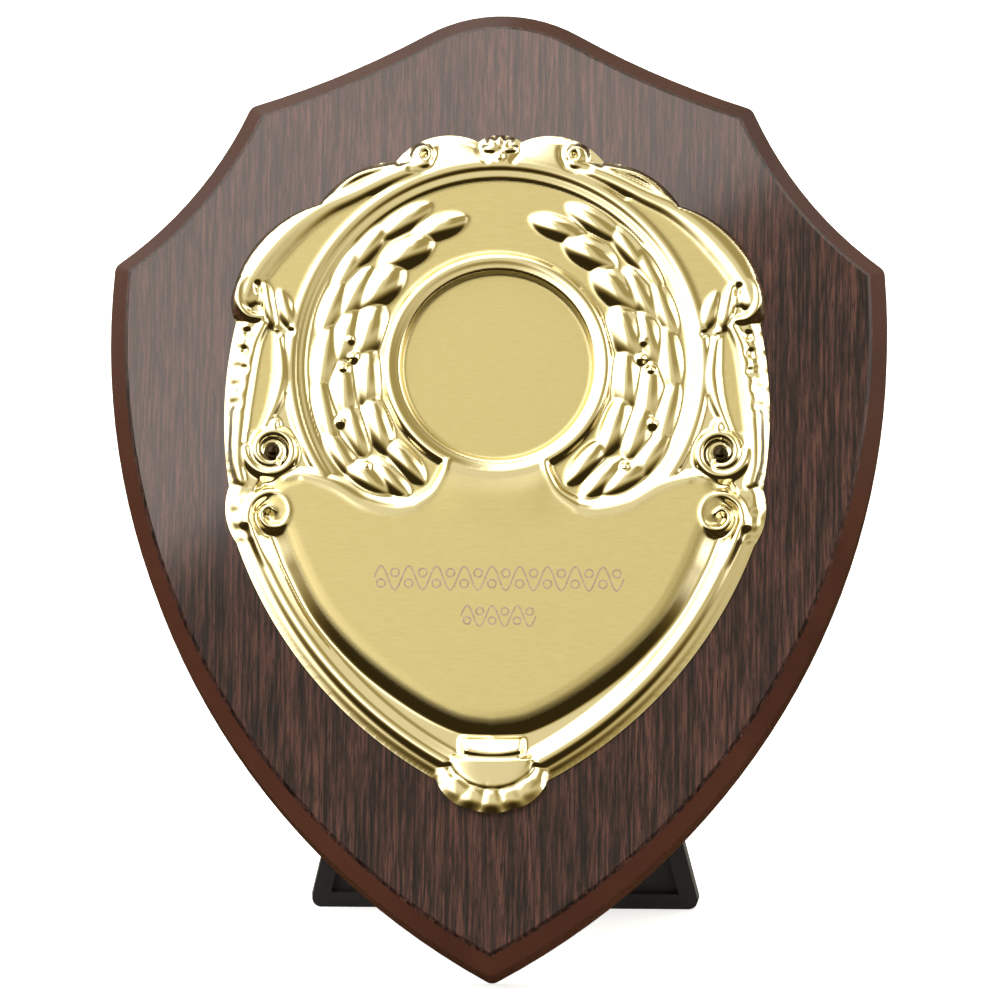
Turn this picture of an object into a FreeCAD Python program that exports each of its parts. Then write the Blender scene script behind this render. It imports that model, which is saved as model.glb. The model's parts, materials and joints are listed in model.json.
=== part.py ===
"""Presentation shield award: beveled board, gilt front, two pins and a folding strut.

Frame: millimetres, +Z up, the front faces -Y. The board leans back and stands on its tip
and on the foot of the open strut. The origin is on the floor, under the middle of the box.
"""
import FreeCAD, Part
import math
import os

import Sketcher

V = FreeCAD.Vector

# ------------------------------------------------------------------ driving dimensions
# alias: value in millimetres or degrees
DIMENSIONS = {
    # board, seen square on: heights are measured up the board from its tip
    "board_height": 126.1,
    "core_thick": 9.0,
    "veneer_thick": 0.5,
    "laminate_thick": 0.3,
    "laminate_inset": 0.25,
    "lean_angle": 21.0,
    "bevel_width": 2.4,
    "bevel_depth": 2.6,
    "crown_radius": 20.1,
    "crown_half_angle": 29.25,
    "wing_radius": 120.0,
    "shoulder_half": 32.55,
    "hollow_radius": 51.5,
    "side_corner_height": 92.4,
    "flank_radius": 95.0,
    "flank_offset": 44.8,
    "corner_round": 1.5,
    "bevel_corner_round": 0.3,
    # gilt front, pressed from sheet
    "front_centre_height": 78.8,
    "border_level": 1.9,
    "field_level": 0.9,
    "recess_floor": 0.6,
    "recess_radius": 12.6,
    "ring_radius": 15.0,
    "field_radius": 24.7,
    "bead_centre_radius": 25.7,
    "bead_radius": 0.95,
    "bead_sweep": 244.0,
    "boss_level": 2.6,
    "side_scroll_radius": 2.6,
    "side_scroll_across": 30.6,
    "side_scroll_up": 8.4,
    "low_scroll_radius": 2.5,
    "low_scroll_across": 28.3,
    "low_scroll_down": 19.2,
    "leaf_long": 3.4,
    "leaf_wide": 1.5,
    "leaf_height": 1.7,
    "leaf_ring_radius": 19.8,
    "leaf_first_angle": 38.0,
    "branch_sweep": 100.0,
    "branch_leaves": 6,
    # pins through the gilt front
    "pin_half_spacing": 28.8,
    "pin_drop": 11.4,
    "pin_boss_radius": 4.3,
    "pin_shank_radius": 0.6,
    "pin_shank_length": 7.0,
    "pin_head_radius": 0.9,
    "pin_head_height": 0.7,
    "pin_seat_radius": 1.1,
    # moulded strut plate on the back
    "hinge_height": 72.0,
    "hinge_standoff": 4.2,
    "flange_half_width": 16.0,
    "flange_below": 3.0,
    "flange_above": 36.0,
    "flange_thick": 1.2,
    "flange_corner": 3.0,
    "knuckle_radius": 2.4,
    "knuckle_inner": 10.0,
    "knuckle_width": 4.0,
    "box_half_width": 8.5,
    "box_bottom": 10.5,
    "box_top": 31.5,
    "box_height": 4.2,
    "box_corner": 2.0,
    "box_edge_round": 0.8,
    "cavity_corner": 1.0,
    "box_wall": 1.5,
    "box_skin": 1.4,
    "keyhole_radius": 3.6,
    "keyhole_height": 17.0,
    "keyslot_radius": 1.7,
    "keyslot_height": 25.5,
    "screw_half_spacing": 12.6,
    "screw_low": 8.0,
    "screw_high": 31.0,
    "screw_shank_radius": 1.25,
    "screw_shank_length": 6.4,
    "screw_tip_length": 1.6,
    "screw_point_radius": 0.2,
    "screw_head_radius": 2.3,
    "screw_head_height": 1.5,
    "screw_clearance": 0.15,
    "cross_width": 0.6,
    "cross_length": 2.6,
    "cross_depth": 0.8,
    # folding leg
    "leg_open_angle": 36.6,
    "leg_thick": 3.0,
    "leg_top_half": 10.5,
    "leg_foot_half": 26.1,
    "leg_neck_half": 9.7,
    "leg_neck_length": 4.6,
    "leg_rim_side": 2.4,
    "leg_rim_foot": 2.6,
    "leg_panel_top": 9.0,
    "leg_panel_depth": 1.0,
    "leg_back_depth": 0.7,
    "leg_rib_half": 1.4,
    "leg_corner_round": 1.25,
    "heel_reach": 5.5,
    "heel_thick": 1.7,
    "stop_gap": 0.3,
    "hinge_pin_radius": 1.0,
    "hinge_clearance": 0.05,
}

doc = FreeCAD.newDocument("shield_plaque")
sheet = doc.addObject("Spreadsheet::Sheet", "dims")
for row, (alias, value) in enumerate(DIMENSIONS.items(), start=1):
    sheet.set(f"A{row}", alias)
    sheet.set(f"B{row}", str(value))
    sheet.setAlias(f"B{row}", alias)
doc.recompute()


def dim(alias):
    """A driving dimension, read back from the sheet."""
    return float(sheet.get(alias))


# ------------------------------------------------------------------ frames
LEAN = dim("lean_angle")
BACK_ANGLE = dim("leg_open_angle") - LEAN          # the leg's own slope from the vertical
SINE, COSINE = math.sin(math.radians(LEAN)), math.cos(math.radians(LEAN))
X_AXIS, Y_AXIS = V(1, 0, 0), V(0, 1, 0)
FACE_LEVEL = dim("core_thick") + dim("veneer_thick")


def on_board(across, up, out):
    """A place in the world from a place on the board: out is towards the front."""
    return V(across, up * SINE - out * COSINE, up * COSINE + out * SINE)


BOARD_TURN = FreeCAD.Rotation(X_AXIS, 90 - LEAN)
BACK_TURN = BOARD_TURN * FreeCAD.Rotation(Y_AXIS, 180)
LEG_TURN = FreeCAD.Rotation(X_AXIS, 90 + BACK_ANGLE)
BOARD_FRAME = FreeCAD.Placement(V(0, 0, 0), BOARD_TURN)
FRONT_FRAME = FreeCAD.Placement(on_board(0, dim("front_centre_height"), FACE_LEVEL), BOARD_TURN)
BACK_FRAME = FreeCAD.Placement(on_board(0, dim("hinge_height"), -dim("laminate_thick")), BACK_TURN)
HINGE = on_board(0, dim("hinge_height"), -dim("laminate_thick") - dim("hinge_standoff"))
LEG_FRAME = FreeCAD.Placement(HINGE, LEG_TURN)
LEG_LENGTH = HINGE.z / math.cos(math.radians(BACK_ANGLE))


# ------------------------------------------------------------------ helpers
def bind(feature, **sizes):
    """Ties each named property of a feature to an expression on the sheet."""
    for prop, expression in sizes.items():
        feature.setExpression(prop, expression)


def new_body(name, placement):
    body = doc.addObject("PartDesign::Body", name)
    body.Label = name
    body.Placement = placement
    return body


def add_sketch(body, name, role="XY_Plane", height=None):
    """A sketch on one of the body's own planes, lifted off it by an expression."""
    sketch = body.newObject("Sketcher::SketchObject", name)
    plane = next(f for f in body.Origin.OriginFeatures if f.Role == role)
    sketch.AttachmentSupport = [(plane, "")]
    sketch.MapMode = "FlatFace"
    if height:
        sketch.setExpression(".AttachmentOffset.Base.z", height)
    return sketch


def draw(sketch, pieces):
    """Adds pieces of (start, end) lines and (start, through, end) arcs."""
    for piece in pieces:
        points = [V(x, y, 0) for x, y in piece]
        if len(points) == 2:
            sketch.addGeometry(Part.LineSegment(*points), False)
        else:
            sketch.addGeometry(Part.Arc(*points), False)


def draw_circle(sketch, x, y, radius):
    """A circle whose radius is tied to an expression on the sheet."""
    index = sketch.addGeometry(Part.Circle(V(x, y, 0), V(0, 0, 1), 1.0), False)
    rule = sketch.addConstraint(Sketcher.Constraint("Radius", index, 1.0))
    sketch.setExpression(f"Constraints[{rule}]", radius)


def loop(points):
    """Straight lines round a closed list of points."""
    return [(a, b) for a, b in zip(points, points[1:] + points[:1])]


def mirrored(pieces):
    """The same pieces on the other side of the middle line, in running order."""
    return [tuple((-x, y) for x, y in reversed(piece)) for piece in reversed(pieces)]


def rounded_box(left, right, bottom, top, radius):
    """A rectangle with round corners, as lines and arcs."""
    slant = radius * (1 - math.sqrt(0.5))
    return [
        ((left + radius, bottom), (right - radius, bottom)),
        ((right - radius, bottom), (right - slant, bottom + slant), (right, bottom + radius)),
        ((right, bottom + radius), (right, top - radius)),
        ((right, top - radius), (right - slant, top - slant), (right - radius, top)),
        ((right - radius, top), (left + radius, top)),
        ((left + radius, top), (left + slant, top - slant), (left, top - radius)),
        ((left, top - radius), (left, bottom + radius)),
        ((left, bottom + radius), (left + slant, bottom + slant), (left + radius, bottom)),
    ]


def pad(body, sketch, length, reversed_=False, midplane=False):
    feature = body.newObject("PartDesign::Pad", sketch.Name + "_pad")
    feature.Profile = sketch
    feature.Reversed = reversed_
    feature.Midplane = midplane
    bind(feature, Length=length)
    doc.recompute()
    return feature


def pocket(body, sketch, length, reversed_=False, midplane=False):
    """A cut of the given depth; it stops the build if it removes nothing."""
    before = body.Shape.Volume
    feature = body.newObject("PartDesign::Pocket", sketch.Name + "_pocket")
    feature.Profile = sketch
    feature.Reversed = reversed_
    feature.Midplane = midplane
    bind(feature, Length=length)
    doc.recompute()
    if body.Shape.Volume > before - 1e-3:
        raise RuntimeError(f"{feature.Name} cuts nothing")
    return feature


def mirror_feature(body, feature, role="YZ_Plane"):
    copy = body.newObject("PartDesign::Mirrored", feature.Name + "_mirror")
    copy.Originals = [feature]
    plane = next(f for f in body.Origin.OriginFeatures if f.Role == role)
    copy.MirrorPlane = (plane, [""])
    body.Tip = copy
    doc.recompute()
    return copy


def edges_where(shape, test):
    """Names of the edges whose middle point passes a test."""
    names = []
    for index, edge in enumerate(shape.Edges, start=1):
        middle = edge.valueAt((edge.FirstParameter + edge.LastParameter) / 2)
        if test(edge, middle):
            names.append(f"Edge{index}")
    return names


# ------------------------------------------------------------------ board outline
def unit(x, y):
    size = math.hypot(x, y)
    return x / size, y / size


def crossing(centre_a, radius_a, centre_b, radius_b, near):
    """Where two circles cross, on the side of a nearby point."""
    ax, ay = centre_a
    ux, uy = unit(centre_b[0] - ax, centre_b[1] - ay)
    gap = math.hypot(centre_b[0] - ax, centre_b[1] - ay)
    along = (gap ** 2 + radius_a ** 2 - radius_b ** 2) / (2 * gap)
    side = math.sqrt(radius_a ** 2 - along ** 2)
    found = [(ax + along * ux - s * uy, ay + along * uy + s * ux) for s in (side, -side)]
    return min(found, key=lambda p: math.hypot(p[0] - near[0], p[1] - near[1]))


def towards(centre, radius, point):
    ux, uy = unit(point[0] - centre[0], point[1] - centre[1])
    return centre[0] + radius * ux, centre[1] + radius * uy


def arc_piece(centre, radius, start, end):
    """An arc of less than half a turn about a centre, as start, through and end."""
    middle = ((start[0] + end[0]) / 2, (start[1] + end[1]) / 2)
    return start, towards(centre, radius, middle), end


def board_outline(inset, corner):
    """The board's outline moved in by inset, its corners rounded by corner.

    Each side, from the top: a convex crown, a hollow wing that is tangent to it, a hollow
    shoulder and one long convex flank that runs to the tip.
    """
    height, crown = dim("board_height"), dim("crown_radius")
    wing, hollow, flank = dim("wing_radius"), dim("hollow_radius"), dim("flank_radius")
    turn = math.radians(dim("crown_half_angle"))
    outward = (math.sin(turn), math.cos(turn))
    crown_at = (0.0, height - crown)
    wing_at = (outward[0] * (crown + wing), crown_at[1] + outward[1] * (crown + wing))

    tip_round = dim("corner_round")
    offset = dim("flank_offset")
    flank_at = (-offset, tip_round + math.sqrt((flank - tip_round) ** 2 - offset ** 2))

    shoulder_x = dim("shoulder_half")
    shoulder = (shoulder_x, wing_at[1] - math.sqrt(wing ** 2 - (wing_at[0] - shoulder_x) ** 2))
    side_y = dim("side_corner_height")
    side = (flank_at[0] + math.sqrt(flank ** 2 - (side_y - flank_at[1]) ** 2), side_y)
    chord = (side[0] - shoulder[0], side[1] - shoulder[1])
    half = math.hypot(*chord) / 2
    normal = unit(-chord[1], chord[0])
    reach = math.sqrt(hollow ** 2 - half ** 2)
    hollow_at = ((shoulder[0] + side[0]) / 2 + normal[0] * reach,
                 (shoulder[1] + side[1]) / 2 + normal[1] * reach)

    crown, wing, hollow, flank = crown - inset, wing + inset, hollow + inset, flank - inset
    upper = crossing(wing_at, wing + corner, hollow_at, hollow + corner, shoulder)
    lower = crossing(hollow_at, hollow + corner, flank_at, flank - corner, side)
    tip_at = (0.0, flank_at[1] - math.sqrt((flank - corner) ** 2 - offset ** 2))

    join = (crown_at[0] + outward[0] * crown, crown_at[1] + outward[1] * crown)
    wing_end, hollow_start = towards(wing_at, wing, upper), towards(hollow_at, hollow, upper)
    hollow_end, flank_start = towards(hollow_at, hollow, lower), towards(flank_at, flank, lower)
    flank_end = towards(flank_at, flank, tip_at)
    right = [
        arc_piece(wing_at, wing, join, wing_end),
        arc_piece(upper, corner, wing_end, hollow_start),
        arc_piece(hollow_at, hollow, hollow_start, hollow_end),
        arc_piece(lower, corner, hollow_end, flank_start),
        arc_piece(flank_at, flank, flank_start, flank_end),
    ]
    crown_arc = ((-join[0], join[1]), (0.0, crown_at[1] + crown), join)
    tip_arc = (flank_end, (0.0, tip_at[1] - corner), (-flank_end[0], flank_end[1]))
    return [crown_arc] + right + [tip_arc] + mirrored(right)


def bevel_loft(body, low, high):
    loft = body.newObject("PartDesign::AdditiveLoft", body.Name + "_bevel")
    loft.Profile = low
    loft.Sections = [high]
    loft.Ruled = True
    doc.recompute()
    return loft


PIN_SPOTS = [(sign * dim("pin_half_spacing"), -dim("pin_drop")) for sign in (-1, 1)]
SCREW_SPOTS = [(sign * dim("screw_half_spacing"), up)
               for sign in (-1, 1) for up in (dim("screw_low"), dim("screw_high"))]
CORE_BEVEL_PART = 1 - dim("veneer_thick") / dim("bevel_depth")
CORE_INSET = dim("bevel_width") * CORE_BEVEL_PART


def make_board_core():
    """The pressed-fibre board, with its painted bevel, pin holes and pilot holes."""
    body = new_body("board_core", BOARD_FRAME)
    base = add_sketch(body, "core_outline")
    draw(base, board_outline(0.0, dim("corner_round")))
    wall_top = "dims.core_thick + dims.veneer_thick - dims.bevel_depth"
    pad(body, base, wall_top)
    low = add_sketch(body, "core_bevel_low", height=wall_top)
    draw(low, board_outline(0.0, dim("corner_round")))
    high = add_sketch(body, "core_bevel_high", height="dims.core_thick")
    draw(high, board_outline(CORE_INSET, dim("bevel_corner_round")))
    bevel_loft(body, low, high)

    pins = add_sketch(body, "core_pin_holes", height="dims.core_thick")
    for x, y in PIN_SPOTS:
        draw_circle(pins, x, dim("front_centre_height") + y, "dims.pin_shank_radius")
    pocket(body, pins, "dims.pin_shank_length")
    screws = add_sketch(body, "core_pilot_holes")
    for x, y in SCREW_SPOTS:
        draw_circle(screws, x, dim("hinge_height") + y, "dims.screw_shank_radius")
    pocket(body, screws, "dims.screw_shank_length + dims.screw_tip_length", reversed_=True)
    return body


def make_front_veneer():
    """The wood face, whose edge carries on the bevel."""
    body = new_body("front_veneer", BOARD_FRAME)
    low = add_sketch(body, "veneer_low", height="dims.core_thick")
    draw(low, board_outline(CORE_INSET, dim("bevel_corner_round")))
    high = add_sketch(body, "veneer_high", height="dims.core_thick + dims.veneer_thick")
    draw(high, board_outline(dim("bevel_width"), dim("bevel_corner_round")))
    bevel_loft(body, low, high)
    pins = add_sketch(body, "veneer_pin_holes", height="dims.core_thick + dims.veneer_thick")
    for x, y in PIN_SPOTS:
        draw_circle(pins, x, dim("front_centre_height") + y, "dims.pin_shank_radius")
    pocket(body, pins, "2 * dims.veneer_thick")
    return body


def make_back_laminate():
    """The dark paper laminate on the back, set in a little from the edge."""
    body = new_body("back_laminate", BOARD_FRAME)
    base = add_sketch(body, "laminate_outline")
    inset = dim("laminate_inset")
    draw(base, board_outline(inset, dim("corner_round") - inset))
    pad(body, base, "dims.laminate_thick", reversed_=True)
    screws = add_sketch(body, "laminate_screw_holes")
    for x, y in SCREW_SPOTS:
        draw_circle(screws, x, dim("hinge_height") + y, "dims.screw_shank_radius")
    pocket(body, screws, "2 * dims.laminate_thick")
    return body


# ------------------------------------------------------------------ gilt front
def front_outline():
    """Lobes of the crest, two scrolls each side, a long lower flank and the shell."""
    crest = ((-2.8, 29.7), (0.0, 30.65), (2.8, 29.7))
    right = [
        ((2.8, 29.7), (7.4, 30.5), (13.4, 27.1)),
        ((13.4, 27.1), (18.8, 25.6), (23.3, 21.3)),
        ((23.3, 21.3), (30.0, 17.5), (34.2, 10.0)),
        ((34.2, 10.0), (34.5, 7.8), (33.8, 5.6)),
        ((33.8, 5.6), (35.1, -5.5), (34.3, -16.0)),
        ((34.3, -16.0), (34.7, -19.5), (33.2, -23.4)),
        ((33.2, -23.4), (23.8, -40.1), (7.1, -54.1)),
        ((7.1, -54.1), (5.6, -56.5), (2.6, -57.9)),
    ]
    shell_tip = ((2.6, -57.9), (0.0, -58.4), (-2.6, -57.9))
    return [crest] + right + [shell_tip] + mirrored(right)


def laurel_field():
    """The ring-shaped satin field, which closes in two lobes beside the keystone."""
    ring, field = dim("ring_radius"), dim("field_radius")
    lobe_x, inner_x = 20.3, 6.9
    lobe = (lobe_x, -math.sqrt(field ** 2 - lobe_x ** 2))
    inner = (inner_x, -math.sqrt(ring ** 2 - inner_x ** 2))
    right = [
        (lobe, (17.5, -17.3), (13.5, -18.5)),
        ((13.5, -18.5), (9.0, -17.0), inner),
    ]
    over = ((-lobe[0], lobe[1]), (0.0, field), lobe)
    under = (inner, (0.0, ring), (-inner[0], inner[1]))
    return [over] + right + [under] + mirrored(right)


def engraving_field():
    """The lower satin field, with its keystone up between the lobes."""
    right = [
        ((0.0, -15.2), (5.2, -14.8)),
        ((5.2, -14.8), (7.4, -18.6), (12.5, -20.4)),
        ((12.5, -20.4), (19.5, -19.4), (25.2, -16.0)),
        ((25.2, -16.0), (25.2, -22.6)),
        ((25.2, -22.6), (28.4, -22.6)),
        ((28.4, -22.6), (20.6, -37.3), (4.2, -48.1)),
        ((4.2, -48.1), (0.0, -48.1)),
    ]
    return right + mirrored(right)


def spandrel():
    """The small satin field above each side scroll."""
    return [
        ((17.4, 20.9), (22.5, 15.4), (26.0, 8.4)),
        ((26.0, 8.4), (29.4, 12.8)),
        ((29.4, 12.8), (25.8, 17.8), (17.4, 20.9)),
    ]


def make_metal_front():
    """Pressed gilt sheet: raised border, sunk satin fields, ring, bead, laurels, scrolls."""
    body = new_body("metal_front", FRONT_FRAME)
    outline = add_sketch(body, "front_border")
    draw(outline, front_outline())
    pad(body, outline, "dims.border_level")

    fields = add_sketch(body, "front_fields", height="dims.border_level")
    draw(fields, laurel_field())
    draw(fields, engraving_field())
    draw(fields, spandrel())
    draw(fields, mirrored(spandrel()))
    pocket(body, fields, "dims.border_level - dims.field_level")

    bead = add_sketch(body, "front_bead", role="YZ_Plane")
    draw_circle(bead, dim("bead_centre_radius"), dim("border_level"), "dims.bead_radius")
    turn = body.newObject("PartDesign::Revolution", "front_bead_ring")
    turn.Profile = bead
    turn.ReferenceAxis = (next(f for f in body.Origin.OriginFeatures if f.Role == "Z_Axis"), [""])
    turn.Midplane = True
    bind(turn, Angle="dims.bead_sweep")
    doc.recompute()

    ring, first = dim("leaf_ring_radius"), dim("leaf_first_angle")
    across, up = (ring * math.sin(math.radians(first)), ring * math.cos(math.radians(first)))
    for side, name in ((-1, "left"), (1, "right")):
        leaf = body.newObject("PartDesign::AdditiveEllipsoid", f"leaf_{name}")
        leaf.Placement = FreeCAD.Placement(V(side * across, up, dim("field_level")),
                                           FreeCAD.Rotation(V(0, 0, 1), -side * first))
        leaf.Angle1 = 0                      # the upper half only
        bind(leaf, Radius1="dims.leaf_height", Radius2="dims.leaf_long", Radius3="dims.leaf_wide")
        doc.recompute()
        branch = body.newObject("PartDesign::PolarPattern", f"branch_{name}")
        branch.Originals = [leaf]
        branch.Axis = (next(f for f in body.Origin.OriginFeatures if f.Role == "Z_Axis"), [""])
        branch.Reversed = side > 0
        branch.Angle = dim("branch_sweep")
        branch.Occurrences = int(dim("branch_leaves"))
        body.Tip = branch
        doc.recompute()

    bosses = add_sketch(body, "front_bosses", height="dims.border_level")
    for side in (-1, 1):
        draw_circle(bosses, side * dim("side_scroll_across"), dim("side_scroll_up"),
                    "dims.side_scroll_radius")
        draw_circle(bosses, side * dim("pin_half_spacing"), -dim("pin_drop"),
                    "dims.pin_boss_radius")
        draw_circle(bosses, side * dim("low_scroll_across"), -dim("low_scroll_down"),
                    "dims.low_scroll_radius")
    pad(body, bosses, "dims.boss_level - dims.border_level")

    shell = add_sketch(body, "front_shell", height="dims.border_level")
    rim = [((6.2, -53.8), (4.9, -55.9), (2.3, -57.1))]
    draw(shell, rim + [((2.3, -57.1), (0.0, -57.6), (-2.3, -57.1))] + mirrored(rim))
    draw(shell, [((-6.2, -53.8), (0.0, -50.9), (6.2, -53.8))])
    pad(body, shell, "dims.boss_level - dims.border_level")

    recess = add_sketch(body, "front_recess", height="dims.border_level")
    draw_circle(recess, 0, 0, "dims.recess_radius")
    pocket(body, recess, "dims.border_level - dims.recess_floor")

    seats = add_sketch(body, "front_pin_seats", height="dims.boss_level")
    for x, y in PIN_SPOTS:
        draw_circle(seats, x, y, "dims.pin_seat_radius")
    pocket(body, seats, "dims.boss_level - dims.field_level")
    holes = add_sketch(body, "front_pin_holes", height="dims.boss_level")
    for x, y in PIN_SPOTS:
        draw_circle(holes, x, y, "dims.pin_shank_radius")
    pocket(body, holes, "2 * dims.boss_level")
    return body


# ------------------------------------------------------------------ fasteners
def primitive(kind, name, placement, **sizes):
    solid = doc.addObject(kind, name)
    solid.Placement = placement
    bind(solid, **sizes)
    return solid


def make_front_pins():
    """Two domed panel pins that hold the gilt front to the board."""
    pins = []
    for side, (x, y) in zip(("left", "right"), PIN_SPOTS):
        seat = FreeCAD.Placement(V(x, y, dim("field_level")), FreeCAD.Rotation())
        foot = FreeCAD.Placement(V(x, y, -dim("veneer_thick") - dim("pin_shank_length")),
                                 FreeCAD.Rotation())
        head = primitive("Part::Ellipsoid", f"pin_head_{side}", seat,
                         Radius1="dims.pin_head_height", Radius2="dims.pin_head_radius")
        head.Angle1 = 0
        shank = primitive("Part::Cylinder", f"pin_shank_{side}", foot,
                          Radius="dims.pin_shank_radius",
                          Height="dims.pin_shank_length + dims.veneer_thick + dims.field_level")
        pin = doc.addObject("Part::Fuse", f"pin_{side}")
        pin.Base, pin.Tool = head, shank
        pins.append(pin)
    group = doc.addObject("Part::Compound", "front_pins")
    group.Label = "front_pins"
    group.Links = pins
    group.Placement = FRONT_FRAME
    return group


def make_strut_screws():
    """Four pan-head screws with cross recesses, through the plate into the board."""
    screws = []
    top = dim("flange_thick")
    end = -dim("laminate_thick") - dim("screw_shank_length")
    over = FreeCAD.Rotation(X_AXIS, 180)
    for number, (x, y) in enumerate(SCREW_SPOTS, start=1):
        seat = FreeCAD.Placement(V(-x, y, top), FreeCAD.Rotation())
        head = primitive("Part::Cylinder", f"screw_head_{number}", seat,
                         Radius="dims.screw_head_radius", Height="dims.screw_head_height")
        shank = primitive("Part::Cylinder", f"screw_shank_{number}",
                          FreeCAD.Placement(V(-x, y, top), over),
                          Radius="dims.screw_shank_radius",
                          Height="dims.screw_shank_length + dims.flange_thick"
                                 " + dims.laminate_thick")
        tip = primitive("Part::Cone", f"screw_tip_{number}",
                        FreeCAD.Placement(V(-x, y, end), over),
                        Radius1="dims.screw_shank_radius", Radius2="dims.screw_point_radius",
                        Height="dims.screw_tip_length")
        solid = doc.addObject("Part::MultiFuse", f"screw_solid_{number}")
        solid.Shapes = [head, shank, tip]
        slots = []
        for turn in (45, 135):
            slot = primitive("Part::Box", f"screw_slot_{number}_{turn}", seat,
                             Length="dims.cross_length", Width="dims.cross_width",
                             Height="2 * dims.cross_depth")
            spin = FreeCAD.Rotation(V(0, 0, 1), turn)
            reach = spin.multVec(V(dim("cross_length") / 2, dim("cross_width") / 2, 0))
            level = top + dim("screw_head_height") - dim("cross_depth")
            slot.Placement = FreeCAD.Placement(V(-x, y, level) - reach, spin)
            slots.append(slot)
        cross = doc.addObject("Part::MultiFuse", f"screw_cross_{number}")
        cross.Shapes = slots
        screw = doc.addObject("Part::Cut", f"screw_{number}")
        screw.Base, screw.Tool = solid, cross
        screws.append(screw)
    group = doc.addObject("Part::Compound", "strut_screws")
    group.Label = "strut_screws"
    group.Links = screws
    group.Placement = BACK_FRAME
    return group


def make_hinge_pin():
    """The steel wire pin, held by both knuckles, on which the leg turns."""
    length = 2 * (dim("knuckle_inner") + dim("knuckle_width"))
    start = HINGE - V(length / 2, 0, 0)
    pin = primitive("Part::Cylinder", "hinge_pin",
                    FreeCAD.Placement(start, FreeCAD.Rotation(Y_AXIS, 90)),
                    Radius="dims.hinge_pin_radius",
                    Height="2 * (dims.knuckle_inner + dims.knuckle_width)")
    pin.Label = "hinge_pin"
    return pin


# ------------------------------------------------------------------ strut
def make_strut_plate():
    """Moulded plate on the back: flange, two hinge knuckles and a box with a keyhole."""
    body = new_body("strut_plate", BACK_FRAME)
    half = dim("flange_half_width")
    flange = add_sketch(body, "plate_flange")
    draw(flange, rounded_box(-half, half, -dim("flange_below"), dim("flange_above"),
                             dim("flange_corner")))
    pad(body, flange, "dims.flange_thick")

    box_half, low, high = dim("box_half_width"), dim("box_bottom"), dim("box_top")
    box = add_sketch(body, "plate_box")
    draw(box, rounded_box(-box_half, box_half, low, high, dim("box_corner")))
    lid = pad(body, box, "dims.box_height")
    soften = body.newObject("PartDesign::Fillet", "plate_box_edge")
    soften.Base = (lid, edges_where(lid.Shape, lambda e, m: abs(m.z - dim("box_height")) < 0.01))
    bind(soften, Radius="dims.box_edge_round")
    doc.recompute()

    knuckle = add_sketch(body, "plate_knuckle", role="YZ_Plane", height="dims.knuckle_inner")
    radius, axis = dim("knuckle_radius"), dim("hinge_standoff")
    draw(knuckle, [
        ((-radius, 0.0), (radius, 0.0)),
        ((radius, 0.0), (radius, axis)),
        ((radius, axis), (0.0, axis + radius), (-radius, axis)),
        ((-radius, axis), (-radius, 0.0)),
    ])
    ear = pad(body, knuckle, "dims.knuckle_width")
    mirror_feature(body, ear)

    bore = add_sketch(body, "plate_pin_bore", role="YZ_Plane")
    draw_circle(bore, 0.0, axis, "dims.hinge_pin_radius")
    pocket(body, bore, "4 * (dims.knuckle_inner + dims.knuckle_width)", midplane=True)

    wall = dim("box_wall")
    cavity = add_sketch(body, "plate_cavity")
    draw(cavity, rounded_box(-box_half + wall, box_half - wall, low + wall, high - wall,
                             dim("cavity_corner")))
    pocket(body, cavity, "dims.box_height - dims.box_skin", reversed_=True)

    entry, slot = dim("keyhole_radius"), dim("keyslot_radius")
    entry_y, slot_y = dim("keyhole_height"), dim("keyslot_height")
    meet = entry_y + math.sqrt(entry ** 2 - slot ** 2)
    keyhole = add_sketch(body, "plate_keyhole")
    draw(keyhole, [
        ((-slot, meet), (0.0, entry_y - entry), (slot, meet)),
        ((slot, meet), (slot, slot_y)),
        ((slot, slot_y), (0.0, slot_y + slot), (-slot, slot_y)),
        ((-slot, slot_y), (-slot, meet)),
    ])
    pocket(body, keyhole, "2 * dims.box_height", reversed_=True)

    holes = add_sketch(body, "plate_screw_holes")
    for x, y in SCREW_SPOTS:
        draw_circle(holes, x, y, "dims.screw_shank_radius + dims.screw_clearance")
    pocket(body, holes, "2 * dims.flange_thick", reversed_=True)
    return body


def half_width(down):
    """Half the leg's width at a distance down from the hinge."""
    share = down / LEG_LENGTH
    return dim("leg_top_half") + share * (dim("leg_foot_half") - dim("leg_top_half"))


def panel(inner_left, inner_right, top, bottom):
    """A panel's corners: each side is a function that gives x at a distance down."""
    return loop([(inner_left(top), -top), (inner_right(top), -top),
                 (inner_right(bottom), -bottom), (inner_left(bottom), -bottom)])


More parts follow.
